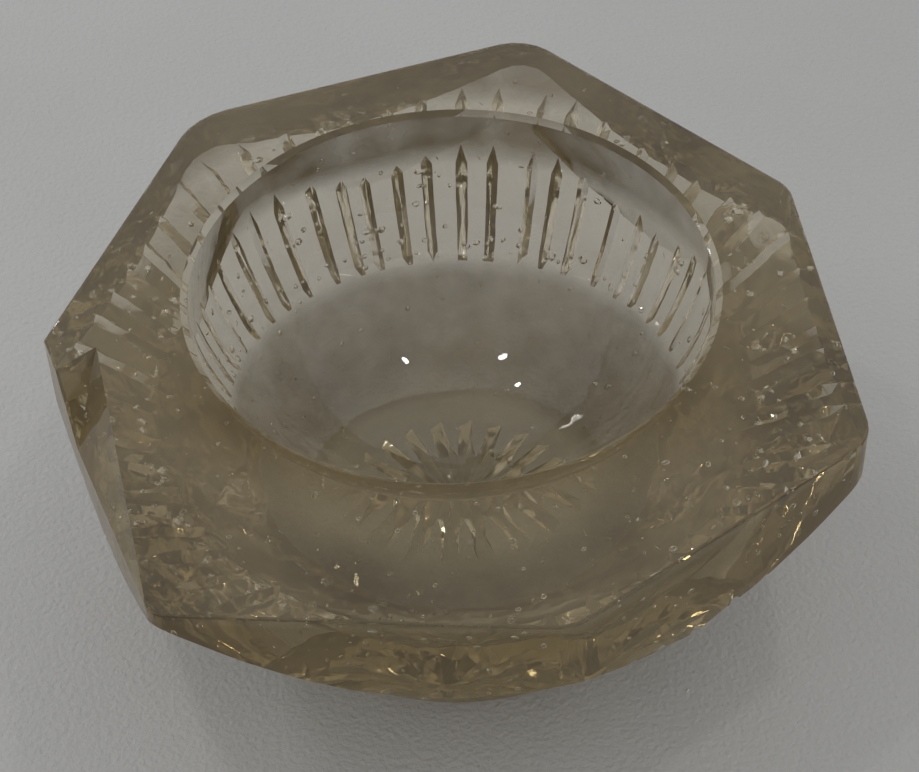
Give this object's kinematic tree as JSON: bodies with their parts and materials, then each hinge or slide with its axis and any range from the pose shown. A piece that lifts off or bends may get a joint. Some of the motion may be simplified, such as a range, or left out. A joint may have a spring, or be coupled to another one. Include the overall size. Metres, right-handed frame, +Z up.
{
  "type": "dappen dish",
  "caption": "Small cut-glass dappen dish: a faceted flat-topped block with a round bowl, a grooved tapering body and a star-cut base.",
  "frame": {"origin": "on the surface that the dish stands on, at the middle of its footprint", "axes": "+Z up, out of the bowl's mouth; +Y towards the narrow part of the rim behind the bowl; +X to the right"},
  "size_m": [0.0448, 0.0468, 0.0195],
  "materials": {
    "smoky_glass": "polished smoky brown glass with seed bubbles"
  },
  "bodies": {
    "root": {"glass_dish": "smoky_glass"}
  },
  "joints": []
}
